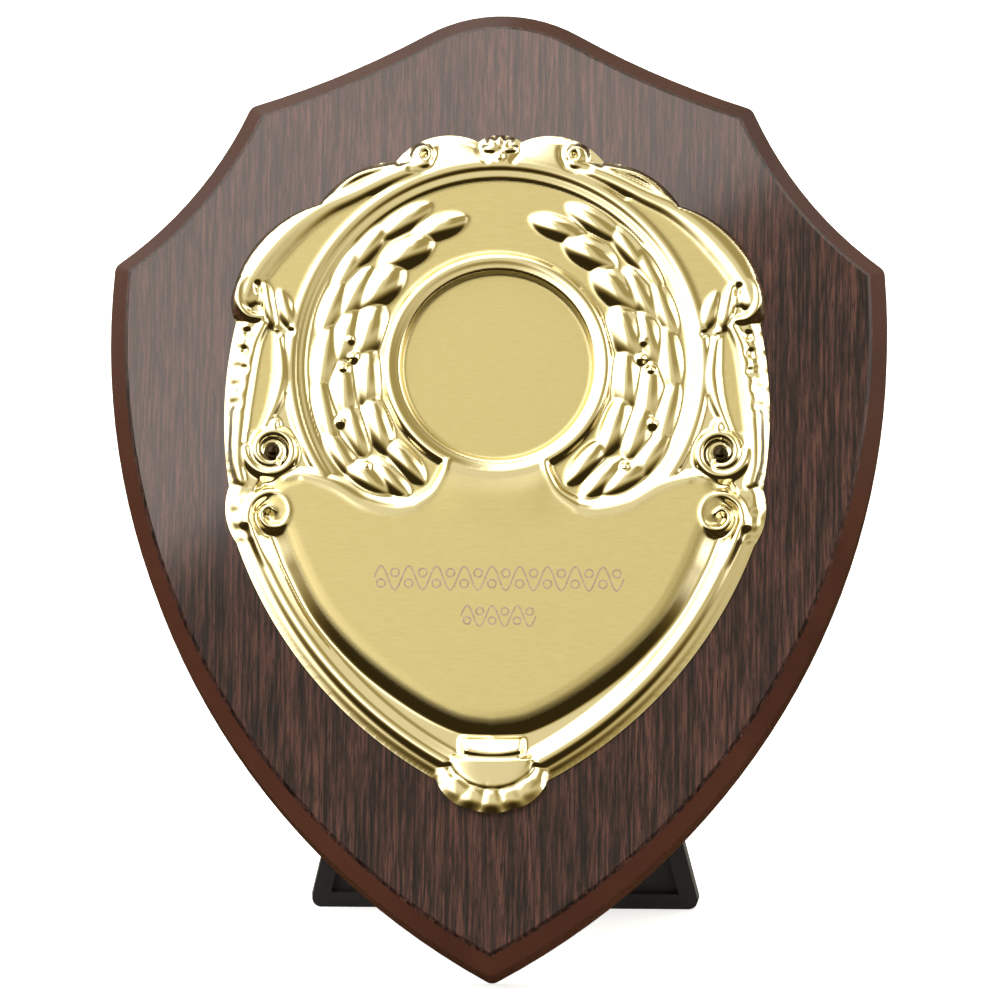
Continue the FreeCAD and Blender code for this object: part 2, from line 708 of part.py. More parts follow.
def make_strut_leg():
    """The flared leg: rimmed panels, hinge barrel, and a heel that stops it when open."""
    body = new_body("strut_leg", LEG_FRAME)
    neck, neck_down = dim("leg_neck_half"), dim("leg_neck_length")
    over = LEG_LENGTH + dim("leg_thick")
    right = [(neck, 0.0), (neck, -neck_down), (half_width(neck_down), -neck_down - 1.0),
             (half_width(over), -over)]
    slab = add_sketch(body, "leg_outline")
    draw(slab, loop(right + [(-x, y) for x, y in reversed(right)]))
    pad(body, slab, "dims.leg_thick", midplane=True)

    # the foot is cut level with the floor
    slope = math.tan(math.radians(BACK_ANGLE))
    reach = dim("leg_thick")
    foot = add_sketch(body, "leg_foot_cut", role="YZ_Plane")
    draw(foot, loop([(-LEG_LENGTH + reach * slope, reach), (-LEG_LENGTH - reach * slope, -reach),
                     (-over - reach, -reach), (-over - reach, reach)]))
    cut = pocket(body, foot, "4 * dims.leg_foot_half", midplane=True)
    corners = edges_where(cut.Shape, lambda e, m: abs(m.x) > dim("leg_foot_half") - 1.5
                          and abs(m.z) < 0.2 and m.y < -LEG_LENGTH + 1 and e.Length < 4)
    soften = body.newObject("PartDesign::Fillet", "leg_foot_corners")
    soften.Base = (cut, corners)
    bind(soften, Radius="dims.leg_corner_round")
    doc.recompute()

    side, rib = dim("leg_rim_side"), dim("leg_rib_half")
    top, bottom = dim("leg_panel_top"), LEG_LENGTH - dim("leg_rim_foot")
    front = add_sketch(body, "leg_front_panel", height="dims.leg_thick / 2")
    draw(front, panel(lambda d: side - half_width(d), lambda d: half_width(d) - side, top, bottom))
    pocket(body, front, "dims.leg_panel_depth")
    back = add_sketch(body, "leg_back_panels", height="-dims.leg_thick / 2")
    draw(back, panel(lambda d: rib, lambda d: half_width(d) - side, top, bottom))
    draw(back, panel(lambda d: side - half_width(d), lambda d: -rib, top, bottom))
    pocket(body, back, "dims.leg_back_depth", reversed_=True)

    barrel = add_sketch(body, "leg_barrel", role="YZ_Plane")
    draw_circle(barrel, 0.0, 0.0, "dims.knuckle_radius")
    pad(body, barrel, "2 * dims.leg_neck_half", midplane=True)

    # the heel's flat lies along the plate, one stop gap away, while the leg is open
    spread = math.radians(dim("leg_open_angle"))
    face = dim("hinge_standoff") - dim("flange_thick") - dim("stop_gap")
    heel_points = [(0.0, face), (dim("heel_reach"), face),
                   (dim("heel_reach"), face - dim("heel_thick")), (2.0, -1.3), (0.0, -2.0)]
    turned = [(up * math.cos(spread) + near * math.sin(spread),
               near * math.cos(spread) - up * math.sin(spread)) for up, near in heel_points]
    heel = add_sketch(body, "leg_heel", role="YZ_Plane")
    draw(heel, loop(turned))
    pad(body, heel, "2 * dims.leg_neck_half", midplane=True)

    bore = add_sketch(body, "leg_bore", role="YZ_Plane")
    draw_circle(bore, 0.0, 0.0, "dims.hinge_pin_radius + dims.hinge_clearance")
    pocket(body, bore, "4 * dims.leg_neck_half", midplane=True)
    return body


# ------------------------------------------------------------------ assembly
parts = [
    make_board_core(),
    make_front_veneer(),
    make_back_laminate(),
    make_metal_front(),
    make_front_pins(),
    make_strut_plate(),
    make_strut_screws(),
    make_hinge_pin(),
    make_strut_leg(),
]
doc.recompute()

# the origin goes under the middle of the whole box
boxes = [part.Shape.optimalBoundingBox(False) for part in parts]
centre_y = (min(b.YMin for b in boxes) + max(b.YMax for b in boxes)) / 2
for part in parts:
    place = part.Placement
    part.Placement = FreeCAD.Placement(place.Base - V(0, centre_y, 0), place.Rotation)
doc.recompute()

failed = [o.Name for o in doc.Objects if {"Invalid", "Error"} & set(o.State)]
if failed:
    raise RuntimeError(f"failed objects: {failed}")
os.makedirs("parts", exist_ok=True)
for part in parts:
    shape = part.Shape
    if shape.isNull() or not shape.isValid():
        raise RuntimeError(f"{part.Label} has no valid shape")
    shape.exportStep(f"parts/{part.Label}.step")
    box = shape.optimalBoundingBox(False)
    print(f"{part.Label:14s} solids {len(shape.Solids)}  volume {shape.Volume:9.1f}  "
          f"x {box.XMin:7.2f} {box.XMax:7.2f}  y {box.YMin:7.2f} {box.YMax:7.2f}  "
          f"z {box.ZMin:7.2f} {box.ZMax:7.2f}")
print(f"shift {centre_y:.4f}  hinge {HINGE.y - centre_y:.4f} {HINGE.z:.4f}  leg {LEG_LENGTH:.3f}")
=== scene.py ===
"""Presentation shield award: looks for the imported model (metres, same frame as the CAD)."""
import json
import math

import bmesh
import bpy
import numpy as np
from mathutils import Matrix, Vector


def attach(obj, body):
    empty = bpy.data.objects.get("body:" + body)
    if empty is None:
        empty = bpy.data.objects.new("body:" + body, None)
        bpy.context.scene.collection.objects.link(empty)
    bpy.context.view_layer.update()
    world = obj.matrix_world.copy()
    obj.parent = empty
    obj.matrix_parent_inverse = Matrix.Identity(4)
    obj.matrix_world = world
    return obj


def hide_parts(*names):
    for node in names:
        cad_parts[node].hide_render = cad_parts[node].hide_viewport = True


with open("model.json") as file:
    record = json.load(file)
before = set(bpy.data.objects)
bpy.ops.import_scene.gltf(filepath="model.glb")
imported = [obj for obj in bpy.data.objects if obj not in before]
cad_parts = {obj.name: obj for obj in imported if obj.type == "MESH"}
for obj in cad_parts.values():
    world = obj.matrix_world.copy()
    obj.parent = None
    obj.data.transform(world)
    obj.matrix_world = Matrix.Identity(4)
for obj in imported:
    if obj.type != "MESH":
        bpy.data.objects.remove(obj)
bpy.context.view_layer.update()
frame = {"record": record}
MM = 0.001

# ------------------------------------------------------------------ places from the frame
MOUNTS = {m["name"]: m for m in frame["record"]["mounts"]}
FRONT_NORMAL = Vector(MOUNTS["centre_recess"]["axis"]).normalized()
ACROSS = Vector((1, 0, 0))
UP_BOARD = FRONT_NORMAL.cross(ACROSS).normalized()
RECESS_MOUNT_HEIGHT = 1.25              # mm from the wood's face to the mount's point
FRONT_ORIGIN = (Vector(MOUNTS["centre_recess"]["pos_m"])
                - FRONT_NORMAL * (RECESS_MOUNT_HEIGHT * MM))


def on_front(x, y, z):
    """A place in metres from millimetres across, up and out from the recess centre."""
    return FRONT_ORIGIN + (ACROSS * x + UP_BOARD * y + FRONT_NORMAL * z) * MM


# ------------------------------------------------------------------ camera
def direction(azimuth, elevation):
    """A unit vector towards an azimuth (0 is straight in front, + to the right)."""
    turn, rise = math.radians(azimuth), math.radians(elevation)
    return Vector((math.sin(turn) * math.cos(rise), -math.cos(turn) * math.cos(rise),
                   math.sin(rise)))


def place_camera(azimuth, elevation, distance, lens, target):
    """A camera that looks at the target from an azimuth and elevation in degrees."""
    data = bpy.data.cameras.new("camera")
    data.lens = lens
    data.sensor_width = 36.0
    camera = bpy.data.objects.new("camera", data)
    bpy.context.scene.collection.objects.link(camera)
    away = direction(azimuth, elevation)
    camera.location = target + away * distance
    camera.rotation_euler = (-away).to_track_quat("-Z", "Y").to_euler()
    bpy.context.scene.camera = camera


place_camera(2.04, 9.43, 1.2, 336.3, on_front(0.55, -17.5, 0.0))
bpy.context.scene.view_settings.view_transform = "Standard"


# ------------------------------------------------------------------ light and floor
def add_softbox(name, azimuth, elevation, distance, width, height, power, mirrored=True):
    """An area light that faces the object; its own image in gloss can be left out."""
    data = bpy.data.lights.new(name, "AREA")
    data.shape = "RECTANGLE"
    data.size, data.size_y = width, height
    data.energy = power
    light = bpy.data.objects.new(name, data)
    bpy.context.scene.collection.objects.link(light)
    away = direction(azimuth, elevation)
    light.location = Vector((0, 0, 0.06)) + away * distance
    light.rotation_euler = (-away).to_track_quat("-Z", "Y").to_euler()
    light.visible_camera = False
    light.visible_glossy = mirrored
    return light


add_softbox("key", -35, 45, 1.2, 0.9, 0.9, 2.0, mirrored=False)
add_softbox("fill_right", 60, 25, 1.2, 0.8, 0.9, 1.0, mirrored=False)
add_softbox("back", 170, 45, 1.2, 1.0, 0.8, 3.5, mirrored=False)


def add_veneer_sheen():
    """A small softbox close to the board, whose image lies across the lacquered veneer."""
    light = add_softbox("veneer_sheen", 0, 0, 1.0, 0.26, 0.17, 1.45)
    light.data.color = (1.0, 0.85, 0.79)
    slant = math.radians(33.3)
    along = ACROSS * math.cos(slant) + UP_BOARD * math.sin(slant)
    light.location = on_front(-70, 168, 450)
    light.rotation_euler = Matrix((along, FRONT_NORMAL.cross(along), FRONT_NORMAL)) \
        .transposed().to_euler()
    receivers = bpy.data.collections.new("sheen_receivers")
    receivers.objects.link(bpy.data.objects["front_veneer"])
    light.light_linking.receiver_collection = receivers


add_veneer_sheen()


def link_maths(tree, operation, a, b):
    """A maths node whose two operands are each a socket or a number."""
    node = tree.nodes.new("ShaderNodeMath")
    node.operation = operation
    for value, socket in zip((a, b), node.inputs):
        if isinstance(value, bpy.types.NodeSocket):
            tree.links.new(value, socket)
        else:
            socket.default_value = value
    return node.outputs[0]


class Sky:
    """The studio as reflections see it, built from smooth steps in azimuth and elevation."""

    def __init__(self):
        world = bpy.data.worlds.new("studio")
        bpy.context.scene.world = world
        world.use_nodes = True
        self.tree = world.node_tree
        self.tree.nodes.clear()
        coords = self.tree.nodes.new("ShaderNodeTexCoord")
        split = self.tree.nodes.new("ShaderNodeSeparateXYZ")
        self.tree.links.new(coords.outputs["Generated"], split.inputs[0])
        x, y, z = split.outputs
        self.azimuth = self.maths("ARCTAN2", x, self.maths("MULTIPLY", y, -1.0))
        self.elevation = self.maths("ARCSINE", z, 0.0)

    def maths(self, operation, a, b):
        return link_maths(self.tree, operation, a, b)

    def step(self, value, low, high):
        """0 at low to 1 at high, in degrees; low may be the larger."""
        node = self.tree.nodes.new("ShaderNodeMapRange")
        node.interpolation_type = "SMOOTHSTEP"
        rising = low < high
        node.inputs["From Min"].default_value = math.radians(min(low, high))
        node.inputs["From Max"].default_value = math.radians(max(low, high))
        node.inputs["To Min"].default_value = 0.0 if rising else 1.0
        node.inputs["To Max"].default_value = 1.0 if rising else 0.0
        self.tree.links.new(value, node.inputs["Value"])
        return node.outputs[0]

    def product(self, *values):
        total = values[0]
        for value in values[1:]:
            total = self.maths("MULTIPLY", total, value)
        return total


def make_sky():
    """White panels left, right and above over walls that darken to brown towards the floor.

    The camera itself sees plain white.
    """
    sky = Sky()
    azimuth, elevation = sky.azimuth, sky.elevation
    ground = sky.maths("ADD", sky.product(sky.step(elevation, -6, 18), 0.49),
                       sky.product(sky.step(elevation, -15, 3), 0.26))
    gap = sky.product(sky.step(azimuth, 0, 24), sky.step(azimuth, 76, 56),
                      sky.step(elevation, 4, 28), sky.step(elevation, 80, 64))
    wall = sky.product(ground, sky.maths("SUBTRACT", 1.0, sky.product(gap, 0.56)))
    left = sky.product(sky.step(azimuth, -5, -20), sky.step(elevation, -4, 16), 1.7)
    top = sky.product(sky.maths("MAXIMUM", sky.step(elevation, 66, 80), sky.product(
        sky.step(elevation, 44, 60), sky.step(azimuth, 8, -8))), 1.6)
    right = sky.product(sky.step(azimuth, 48, 60), sky.step(elevation, -6, 6),
                        sky.step(elevation, 52, 36), 1.6)
    panels = sky.maths("MAXIMUM", sky.maths("MAXIMUM", left, top), right)
    walls = sky.maths("ADD", wall, 0.03)

    tree = sky.tree
    white, warm, bright = (tree.nodes.new("ShaderNodeBackground") for _ in range(3))
    ramp = tree.nodes.new("ShaderNodeValToRGB")
    tone = ramp.color_ramp.elements
    tone[0].color = (0, 0, 0, 1)
    tone[1].color = (0.90, 0.86, 0.74, 1)
    for place, shade in ((0.10, (0.10, 0.068, 0.022, 1)), (0.36, (0.38, 0.31, 0.14, 1)),
                         (0.75, (0.76, 0.70, 0.50, 1))):
        tone.new(place).color = shade
    tree.links.new(walls, ramp.inputs[0])
    tree.links.new(ramp.outputs[0], warm.inputs["Color"])
    bright.inputs["Color"].default_value = white.inputs["Color"].default_value = (1, 1, 1, 1)
    tree.links.new(panels, bright.inputs["Strength"])
    both = tree.nodes.new("ShaderNodeAddShader")
    path = tree.nodes.new("ShaderNodeLightPath")
    mix = tree.nodes.new("ShaderNodeMixShader")
    output = tree.nodes.new("ShaderNodeOutputWorld")
    tree.links.new(warm.outputs[0], both.inputs[0])
    tree.links.new(bright.outputs[0], both.inputs[1])
    tree.links.new(path.outputs["Is Camera Ray"], mix.inputs[0])
    tree.links.new(both.outputs[0], mix.inputs[1])
    tree.links.new(white.outputs[0], mix.inputs[2])
    tree.links.new(mix.outputs[0], output.inputs[0])


make_sky()


def make_floor():
    """A plain pale floor, lit evenly; gloss doesn't see it."""
    mesh = bpy.data.meshes.new("floor")
    reach = 6.0
    mesh.from_pydata([(-reach, -reach, 0), (reach, -reach, 0), (reach, reach, 0),
                      (-reach, reach, 0)], [], [(0, 1, 2, 3)])
    floor = bpy.data.objects.new("floor", mesh)
    bpy.context.scene.collection.objects.link(floor)
    floor.visible_glossy = False
    material = bpy.data.materials.new("floor_white")
    material.use_nodes = True
    shader = material.node_tree.nodes["Principled BSDF"]
    shader.inputs["Base Color"].default_value = (0.72, 0.72, 0.72, 1)
    shader.inputs["Roughness"].default_value = 0.9
    shader.inputs["Specular IOR Level"].default_value = 0.0
    shader.inputs["Emission Color"].default_value = (1, 1, 1, 1)
    shader.inputs["Emission Strength"].default_value = 0.62
    mesh.materials.append(material)


make_floor()


# ------------------------------------------------------------------ gilt front: relief
# All sizes here are millimetres from the recess centre: x across, y up the board, heights
# above the wood. The stamping is symmetric, so the field is worked out for x >= 0 only.
FINE = 0.114                            # grid pitch of the field
MESH_STRIDE = 2                         # field points per mesh point
COARSE = FINE * MESH_STRIDE
EVERYWHERE = 90.0                       # a margin that takes in the whole grid
FIELD_LEVEL, PLATEAU_LEVEL = 0.85, 1.75  # satin fields: laurels, engraving
SPANDREL_LEVEL = 1.42
EDGE_LEVEL = 0.3
RECESS_FLOOR_RADIUS, RING_CREST_RADIUS, RING_END = 12.2, 13.95, 15.1
FIELD_RADIUS = 24.5
BEAD_START, BEAD_END = 24.3, 27.3
CREST_START = 27.2
PIN_SPOT = (28.8, -11.4)
SHELL_Y = -51.5                         # middle of the shell


def arc_points(start, through, end, count=60):
    """Points on the arc through three places."""
    (ax, ay), (bx, by), (cx, cy) = start, through, end
    d = 2 * (ax * (by - cy) + bx * (cy - ay) + cx * (ay - by))
    a2, b2, c2 = ax * ax + ay * ay, bx * bx + by * by, cx * cx + cy * cy
    ux = (a2 * (by - cy) + b2 * (cy - ay) + c2 * (ay - by)) / d
    uy = (a2 * (cx - bx) + b2 * (ax - cx) + c2 * (bx - ax)) / d
    radius = math.hypot(ax - ux, ay - uy)
    first, middle, last = (math.atan2(y - uy, x - ux) for x, y in (start, through, end))
    full = 2 * math.pi
    turn = (last - first) % full
    if (middle - first) % full > turn:
        turn -= full
    angles = first + turn * np.linspace(0, 1, count)
    return np.stack([ux + radius * np.cos(angles), uy + radius * np.sin(angles)], axis=1)


OUTLINE_ARCS = [
    ((0.0, 30.65), (1.5, 30.4), (2.8, 29.7)),
    ((2.8, 29.7), (7.4, 30.5), (13.4, 27.1)),
    ((13.4, 27.1), (18.8, 25.6), (23.3, 21.3)),
    ((23.3, 21.3), (30.0, 17.5), (34.2, 10.0)),
    ((34.2, 10.0), (34.5, 7.8), (33.8, 5.6)),
    ((33.8, 5.6), (35.1, -5.5), (34.3, -16.0)),
    ((34.3, -16.0), (34.7, -19.5), (33.2, -23.4)),
    ((33.2, -23.4), (23.8, -40.1), (7.1, -54.1)),
    ((7.1, -54.1), (5.6, -56.5), (2.6, -57.9)),
    ((2.6, -57.9), (1.4, -58.3), (0.0, -58.4)),
]


def half_outline():
    """The right half of the stamping's outline, from the top to the bottom."""
    runs = [arc_points(*arc)[:-1] for arc in OUTLINE_ARCS]
    return np.concatenate(runs + [np.array([OUTLINE_ARCS[-1][2]])])


def curve(points, steps=14):
    """A smooth line (Catmull-Rom) through a few points."""
    p = np.array(points, float)
    p = np.concatenate([[2 * p[0] - p[1]], p, [2 * p[-1] - p[-2]]])
    t = np.linspace(0, 1, steps, endpoint=False)[:, None]
    runs = [0.5 * (2 * b + (c - a) * t + (2 * a - 5 * b + 4 * c - d) * t ** 2
                   + (3 * b - a - 3 * c + d) * t ** 3)
            for a, b, c, d in zip(p[:-3], p[1:-2], p[2:-1], p[3:])]
    return np.concatenate(runs + [p[-2][None]])


def spiral(centre, outer, inner, start, turns):
    """A scroll that winds in from a start angle; negative turns run clockwise."""
    share = np.linspace(0, 1, int(abs(turns) * 40) + 2)
    angle = math.radians(start) + share * turns * 2 * math.pi
    radius = outer + (inner - outer) * share ** 0.8
    return np.stack([centre[0] + radius * np.cos(angle), centre[1] + radius * np.sin(angle)], 1)


def ease(low, high, value):
    """0 at low, 1 at high, smooth between."""
    t = np.clip((value - low) / (high - low), 0, 1)
    return t * t * (3 - 2 * t)


class Relief:
    """Height and satin mask of the stamping on a fine grid, right half."""

    def __init__(self):
        self.xs = np.arange(0, 35.3, FINE)
        self.ys = np.arange(-58.8, 31.0, FINE)
        self.x, self.y = np.meshgrid(self.xs, self.ys)
        self.height = np.zeros_like(self.x)
        self.satin = np.zeros_like(self.x)

    def window(self, path, margin):
        """The part of the grid within a margin of a path."""
        low, high = path.min(0) - margin, path.max(0) + margin
        columns = slice(*np.searchsorted(self.xs, (low[0], high[0])))
        rows = slice(*np.searchsorted(self.ys, (low[1], high[1])))
        return rows, columns

    def near(self, path, margin):
        """Window, distance to the path, place along it (0 to 1) and side (left positive)."""
        where = self.window(path, margin)
        x, y = self.x[where], self.y[where]
        best = np.full(x.shape, 1e9)
        place = np.zeros(x.shape)
        side = np.ones(x.shape)
        steps = np.diff(path, axis=0)
        sizes = np.hypot(*steps.T)
        ends = np.concatenate([[0], np.cumsum(sizes)])
        for (px, py), (dx, dy), size, done in zip(path, steps, sizes, ends):
            if size == 0:
                continue
            t = np.clip(((x - px) * dx + (y - py) * dy) / size ** 2, 0, 1)
            gap = np.hypot(x - px - t * dx, y - py - t * dy)
            closer = gap < best
            best = np.where(closer, gap, best)
            place = np.where(closer, (done + t * size) / ends[-1], place)
            cross = dx * (y - py) - dy * (x - px)
            side = np.where(closer, np.sign(cross), side)
        return where, best, place, side

    def ridge(self, points, width, top, base, power=1.0):
        """A rounded ridge along a path.

        Half width and top are one value each, or several spread evenly along the path.
        """
        path = np.asarray(points, float)
        widest = max(np.atleast_1d(width))
        where, gap, place, _ = self.near(path, widest + 0.3)
        half = np.interp(place, np.linspace(0, 1, np.size(width)), np.atleast_1d(width))
        crown = np.interp(place, np.linspace(0, 1, np.size(top)), np.atleast_1d(top))
        inside = gap < half
        lift = np.clip(1 - (gap / half) ** 2, 0, 1) ** power
        raised = base + (crown - base) * lift
        self.height[where] = np.where(inside, np.maximum(self.height[where], raised),
                                      self.height[where])
        self.satin[where] = np.where(inside & (raised >= self.height[where] - 1e-6), 0,
                                     self.satin[where])

    def groove(self, points, width, depth):
        """A rounded groove cut along a path."""
        path = np.asarray(points, float)
        where, gap, _, _ = self.near(path, width + 0.2)
        self.height[where] -= depth * np.clip(1 - (gap / width) ** 2, 0, 1)

    def bump(self, x, y, radius, top, base=0.0):
        """A round boss, or a pit where top is under base."""
        where = self.window(np.array([[x, y]]), radius + 0.2)
        share = np.hypot(self.x[where] - x, self.y[where] - y) / radius
        lift = (top - base) * np.clip(1 - share ** 2, 0, 1)
        if top >= base:
            self.height[where] = np.where(share < 1, np.maximum(self.height[where], base + lift),
                                          self.height[where])
        else:
            self.height[where] += lift

    def leaf(self, x, y, long, wide, axis, top, base, fall=0.0):
        """A full pointed leaf along an axis in degrees that sinks towards its far end."""
        where = self.window(np.array([[x, y]]), long / 2 + 0.3)
        turn = math.radians(axis)
        dx, dy = self.x[where] - x, self.y[where] - y
        u = (dx * math.cos(turn) + dy * math.sin(turn)) / (long / 2)
        v = (dy * math.cos(turn) - dx * math.sin(turn)) / (wide / 2)
        reach = np.clip(1 - np.abs(u) ** 2.6, 1e-4, 1) ** 0.75
        share = np.abs(v) / reach
        inside = (np.abs(u) < 1) & (share < 1)
        dome = np.clip(1 - share ** 2, 0, 1) * np.clip(1 - u * u, 0, 1) ** 0.85
        raised = base + (top - base - fall * ease(-0.2, 1.0, u)) * dome
        taller = inside & (raised > self.height[where])
        self.height[where] = np.where(taller, raised, self.height[where])
        self.satin[where] = np.where(taller, 0, self.satin[where])


# profiles as (distance, height): in from the outline, across the ring and across the bead
FLANK_PROFILE = [(0, .30), (.25, .34), (1.2, .78), (1.5, .80), (1.9, 1.10), (2.4, 1.34),
                 (2.9, 1.34), (3.5, 1.00), (4.2, .52), (4.7, .30)]
RING_PROFILE = [(0, .35), (12.2, .35), (12.42, 1.26), (12.6, 1.38), (13.0, 1.46), (13.16, 1.42),
                (13.3, 1.50), (13.6, 1.61), (13.95, 1.70), (14.3, 1.63), (14.65, 1.36),
                (14.9, 1.04), (15.1, FIELD_LEVEL)]
BEAD_PROFILE = [(24.3, FIELD_LEVEL), (24.5, .87), (24.7, 1.14), (24.9, 1.20), (25.5, 1.28),
                (25.66, 1.22), (25.85, 1.38), (26.2, 1.55), (26.5, 1.62), (26.8, 1.60),
                (27.3, 1.50)]
CREST_PROFILE = [(0, .30), (.08, .36), (.24, .86), (.34, .98), (.55, 1.16), (.78, 1.34),
                 (1, 1.50)]
LOBE_LINE = [(6.2, -12.6), (6.5, -14.0), (8.0, -17.0), (10.6, -18.95), (13.0, -19.4),
             (17.0, -18.6), (21.0, -16.2), (25.2, -14.9)]
COVE_LINE = [(30.0, -15.0), (31.0, -17.2), (30.4, -20.0), (28.7, -22.8), (27.0, -27.0),
             (23.5, -33.5), (18.0, -39.6), (11.0, -44.9), (5.0, -48.0), (0.0, -48.9)]

# laurel leaves: centre x and y, length, width, angle of the axis in degrees, top
LEAVES = [
    (7.7, 18.2, 8.6, 3.7, -20, 1.65), (12.3, 19.0, 9.4, 3.4, -33, 1.50),
    (16.9, 15.4, 9.0, 3.1, -52, 1.50), (19.3, 12.9, 8.6, 3.0, -60, 1.40),
    (11.8, 14.9, 8.8, 4.6, -30, 1.90), (15.1, 10.2, 9.0, 4.9, -46, 1.90),
    (18.4, 9.4, 9.0, 3.8, -60, 1.60), (21.4, 7.6, 9.0, 3.4, -68, 1.50),
    (16.6, 4.4, 9.0, 4.9, -70, 1.90), (22.2, 1.0, 9.8, 3.9, -82, 1.50),
    (19.5, 3.6, 8.6, 3.9, -74, 1.65), (16.6, -1.8, 9.0, 4.2, -90, 1.85),
    (19.6, -3.4, 9.0, 4.2, -95, 1.60), (22.0, -6.3, 10.8, 3.5, -104, 1.45),
    (15.2, -7.9, 9.2, 4.0, -108, 1.85), (18.2, -8.6, 8.8, 4.0, -110, 1.70),
    (19.9, -11.8, 8.8, 3.6, -125, 1.55), (11.6, -12.7, 8.4, 3.6, -130, 1.80),
    (13.6, -14.9, 8.4, 3.4, -134, 1.70), (16.5, -14.9, 8.4, 4.0, -145, 1.75),
]
BERRIES = [(18.9, 3.2), (19.8, -0.6), (18.5, 0.9), (20.0, -7.6), (16.6, -13.4)]


def lip_level(x, y):
    """How high the stamping's edge stands: low, and higher round the shell."""
    return EDGE_LEVEL + 0.72 * ease(-52.0, -54.5, y) * (1 - ease(6.4, 7.4, np.abs(x)))


def scallops(r, low, high, pitch, amount):
    """Soft waves along the outer rim between two heights up the board."""
    wave = np.cos((r.y - low) / pitch * 2 * math.pi)
    share = ease(.2, .9, r.edge) * (1 - ease(1.7, 2.7, r.edge)) * (r.x > 28)
    share *= ease(low - .4, low + .4, r.y) * (1 - ease(high - .4, high + .4, r.y))
    r.height += amount * wave * share


def make_base(r):
    """Border mouldings and the two kinds of satin field."""
    edge = r.edge
    radius = np.hypot(r.x, r.y)
    lobe_y = np.interp(r.x, *zip(*LOBE_LINE))
    above_lobe = r.y > lobe_y

    # lower flank, and the plain ground of the upper border
    flank = np.interp(edge, *zip(*FLANK_PROFILE))
    ground = np.interp(edge, (0, .25, 1.1, 1.4), (EDGE_LEVEL, .34, 1.05, 1.15))
    lower = ease(-17.0, -21.5, r.y)
    r.height = ground + (flank - ground) * lower

    # crest between the bead and the outline, and its change into the side border
    share = edge / np.maximum(edge + np.clip(radius - CREST_START, 0, None), 1e-6)
    crest = np.interp(share, *zip(*CREST_PROFILE))
    crest_weight = (1 - ease(11.0, 16.5, r.x)) * ease(14.0, 18.0, r.y)
    r.height += (crest - r.height) * crest_weight * (radius > CREST_START)

    # lower plateau with its cove
    cove = curve(COVE_LINE)
    where, gap, _, side = r.near(cove, EVERYWHERE)
    inward = np.full_like(r.x, -1.0)
    inward[where] = -gap * side
    inward = np.where((r.y < -15) & (inward > 0), inward, np.where(r.y < -48.9, -1.0, inward))
    rise = np.interp(inward, (0, .2, .5, 2.1, 2.5, 3.4),
                     (.30, .32, .48, 1.50, 1.66, PLATEAU_LEVEL))
    plateau = (inward > 0) & ~above_lobe
    r.height = np.where(plateau, rise, r.height)
    r.satin = np.where(plateau, ease(1.5, 2.0, inward), r.satin)

    # the keystone under the ring swells and is polished
    near_axis = plateau & (r.y > -24)
    swell = ease(14.4, 17.0, radius) * (1 - ease(17.0, 23.0, radius)) * (1 - ease(4.0, 9.5, r.x))
    r.height += np.where(near_axis, .10 * swell, 0)
    polished = .4 * (1 - ease(14.8, 18.0, radius)) * (1 - ease(4.5, 8.5, r.x))
    r.satin = np.where(near_axis, r.satin * (1 - polished), r.satin)

    # laurel field, bead, ring and recess
    field = above_lobe & (radius < FIELD_RADIUS)
    r.height = np.where(field, FIELD_LEVEL, r.height)
    r.satin = np.where(field, 1.0, r.satin)
    bead = above_lobe & (radius > BEAD_START) & (radius < BEAD_END) & (r.y > -15.5)
    r.height = np.where(bead, np.interp(radius, *zip(*BEAD_PROFILE)), r.height)
    r.satin = np.where(bead & (radius > 24.45), 0.0, r.satin)
    ring = np.interp(radius, *zip(*RING_PROFILE))
    outer = radius > RING_CREST_RADIUS
    r.height = np.where(radius < RING_END, np.where(outer, np.maximum(ring, r.height), ring),
                        r.height)
    r.satin = np.where(radius < RING_END - .05,
                       np.where(radius < RECESS_FLOOR_RADIUS, 1.0, 0.0), r.satin)


def make_lobe_moulding(r):
    """The band under each laurel branch, and the thin line beside the keystone."""
    r.ridge(curve([(27.0, -15.2), (25.2, -14.9), (21.0, -16.2), (17.0, -18.5), (13.0, -19.35),
                   (10.4, -18.9)]), (1.2, 2.1, 2.3, 1.9), (1.8, 1.82, 1.84, 1.82), FIELD_LEVEL)
    r.ridge(curve([(10.8, -19.1), (8.0, -17.0), (6.6, -14.4), (6.2, -12.8)]),
            (1.8, 1.2, .9), (1.82, 1.85, 1.9), FIELD_LEVEL)


def make_side_border(r):
    """Lobes and half-round moulding from the crest down to the side scroll."""
    where = r.window(np.array([(13.0, 8.0), (33.0, 22.0)]), 0)
    radius = np.hypot(r.x, r.y)
    spandrel = np.zeros_like(r.x, bool)
    spandrel[where] = True
    spandrel &= (radius > BEAD_END) & (radius < 32.2) & (r.y > 8.0) & (r.x > 16.0)
    r.height = np.where(spandrel, SPANDREL_LEVEL, r.height)
    r.satin = np.where(spandrel, 1.0, r.satin)
    r.ridge(curve([(13.6, 26.3), (18.5, 24.85), (22.8, 21.3)]), (.5, .65, .5), (1.4, 1.5, 1.3),
            .6)
    r.ridge(curve([(9.5, 26.5), (14.2, 24.7), (18.6, 22.5), (22.6, 20.6), (26.2, 18.0),
                   (29.4, 14.7), (31.7, 11.4), (32.7, 8.8)]),
            (.9, 1.1, 1.15, 1.35, 1.7, 2.0, 2.0, 1.6),
            (1.8, 1.85, 1.9, 1.92, 1.95, 2.0, 2.0, 1.95), 1.45, 1.2)


